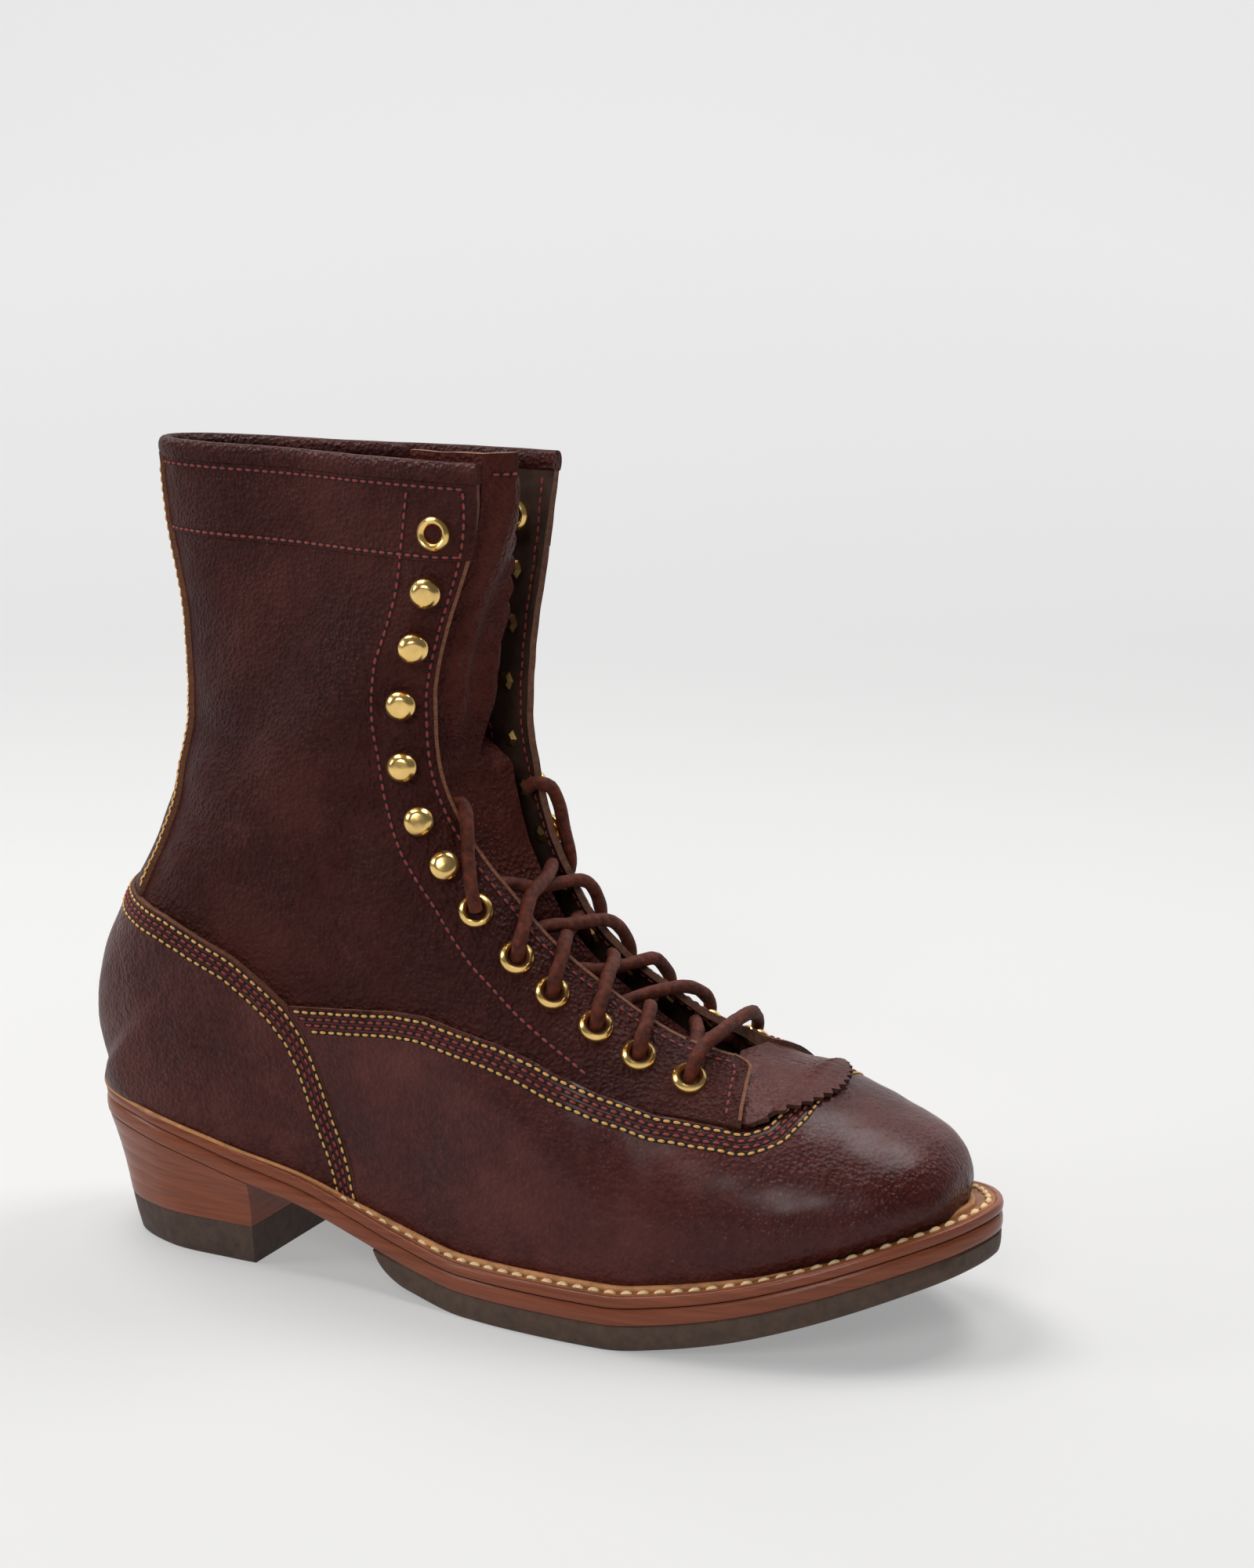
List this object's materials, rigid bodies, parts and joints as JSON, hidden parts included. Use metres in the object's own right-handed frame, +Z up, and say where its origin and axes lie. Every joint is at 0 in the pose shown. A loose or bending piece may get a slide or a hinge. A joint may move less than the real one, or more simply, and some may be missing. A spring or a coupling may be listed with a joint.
{
  "type": "logger boot",
  "caption": "Right lace-up work boot with a high leaning shaft, a stacked heel, a storm welt and a leather and rubber sole",
  "frame": {"origin": "on the ground under the middle of the boot's box, measured without the two lace ends", "axes": "+X towards the toe, +Z up, +Y towards the inner side of the foot, so the outer side faces -Y"},
  "size_m": [0.2974, 0.1026, 0.2513],
  "materials": {
    "upper_leather": "pebbled oiled leather, deep brown burgundy, half gloss",
    "edge_leather": "dyed and waxed sole leather edge, reddish brown",
    "welt_leather": "smooth leather, golden brown, half gloss",
    "lining": "plain dark leather, matt",
    "rubber": "dense sole rubber, dark brown, matt",
    "brass": "stamped brass, aged in places",
    "lace": "rough rawhide lace, reddish brown, matt"
  },
  "bodies": {
    "root": {"outsole": "rubber", "midsole": "edge_leather", "heel_stack": "edge_leather", "heel_lift": "rubber", "welt": "welt_leather", "insole": "lining", "upper": "upper_leather", "vamp": "upper_leather", "counter": "upper_leather", "backstay": "upper_leather", "collar_binding": "upper_leather", "tongue": "upper_leather", "kiltie": "upper_leather", "laces": "lace", "lace_end_outer": "lace", "lace_end_inner": "lace", "eyelet_outer_1": "brass", "eyelet_outer_2": "brass", "eyelet_outer_3": "brass", "eyelet_outer_4": "brass", "eyelet_outer_5": "brass", "eyelet_outer_6": "brass", "eyelet_outer_7": "brass", "eyelet_inner_1": "brass", "eyelet_inner_2": "brass", "eyelet_inner_3": "brass", "eyelet_inner_4": "brass", "eyelet_inner_5": "brass", "eyelet_inner_6": "brass", "eyelet_inner_7": "brass", "hook_outer_1": "brass", "hook_outer_2": "brass", "hook_outer_3": "brass", "hook_outer_4": "brass", "hook_outer_5": "brass", "hook_outer_6": "brass", "hook_inner_1": "brass", "hook_inner_2": "brass", "hook_inner_3": "brass", "hook_inner_4": "brass", "hook_inner_5": "brass", "hook_inner_6": "brass"}
  },
  "joints": []
}
